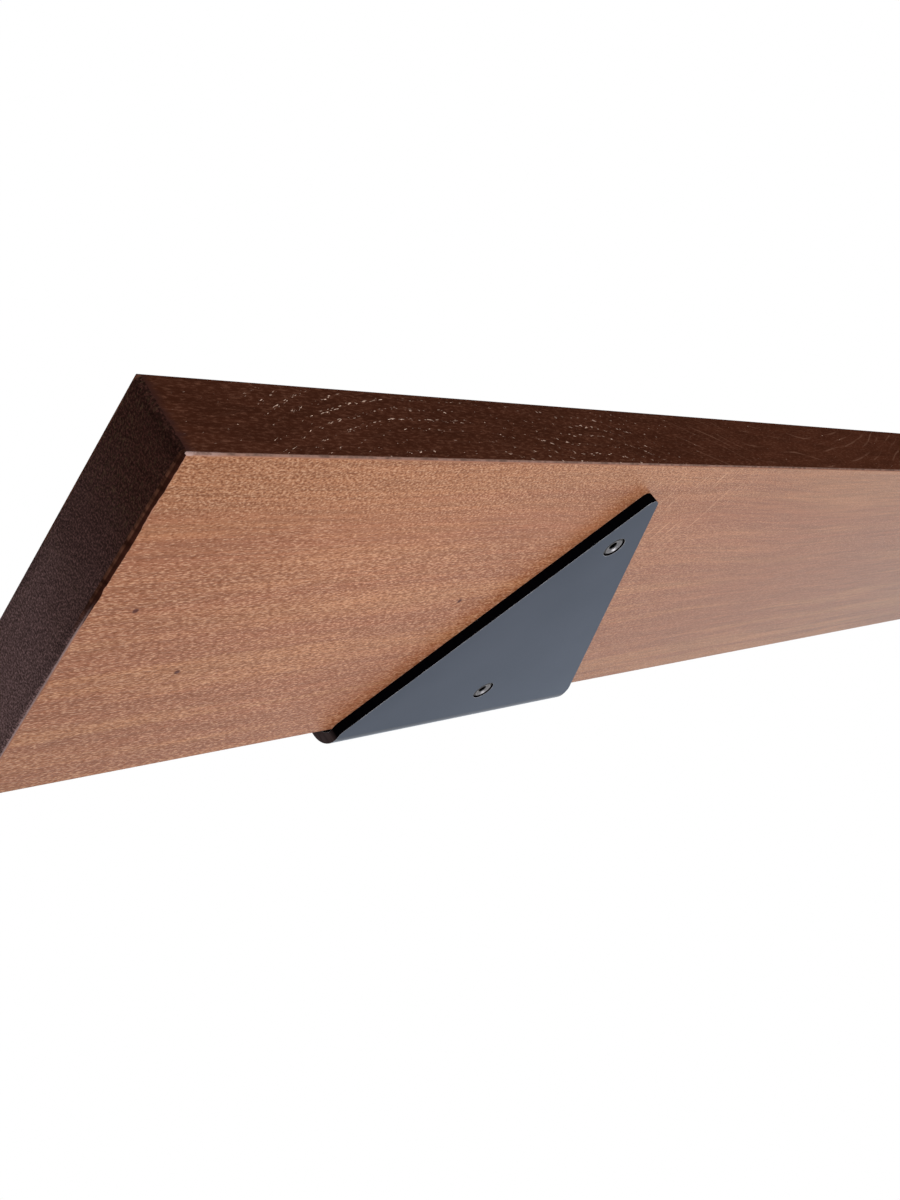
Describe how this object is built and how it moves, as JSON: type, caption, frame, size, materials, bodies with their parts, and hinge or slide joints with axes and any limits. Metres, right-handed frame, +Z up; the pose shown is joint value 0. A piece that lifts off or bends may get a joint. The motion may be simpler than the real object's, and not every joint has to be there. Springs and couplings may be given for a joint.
{
  "type": "bracket wall shelf",
  "caption": "Thick solid-wood wall shelf on folded triangular steel brackets, each bolted up into the board and screwed flat to the wall behind it.",
  "frame": {"origin": "on the wall plane, midway between the two brackets, at the height of the wall holes, which is the middle of the board's thickness", "axes": "+X along the wall to the right as seen from the room, +Y into the wall, +Z up; the front edge of the board faces -Y"},
  "size_m": [1.5, 0.213, 0.044],
  "materials": {
    "board_wood": "dark stained and oiled hardwood, lighter on the underside",
    "bracket_coat": "matte slate grey powder coat on steel",
    "screw_steel": "bright zinc plated",
    "insert_brass": "plain turned"
  },
  "bodies": {
    "root": {"shelf_board": "board_wood", "bracket_left": "bracket_coat", "bracket_right": "bracket_coat", "screw_left_front": "screw_steel", "screw_left_rear": "screw_steel", "screw_right_front": "screw_steel", "screw_right_rear": "screw_steel", "insert_left_front": "insert_brass", "insert_left_rear": "insert_brass", "insert_right_front": "insert_brass", "insert_right_rear": "insert_brass"}
  },
  "joints": []
}
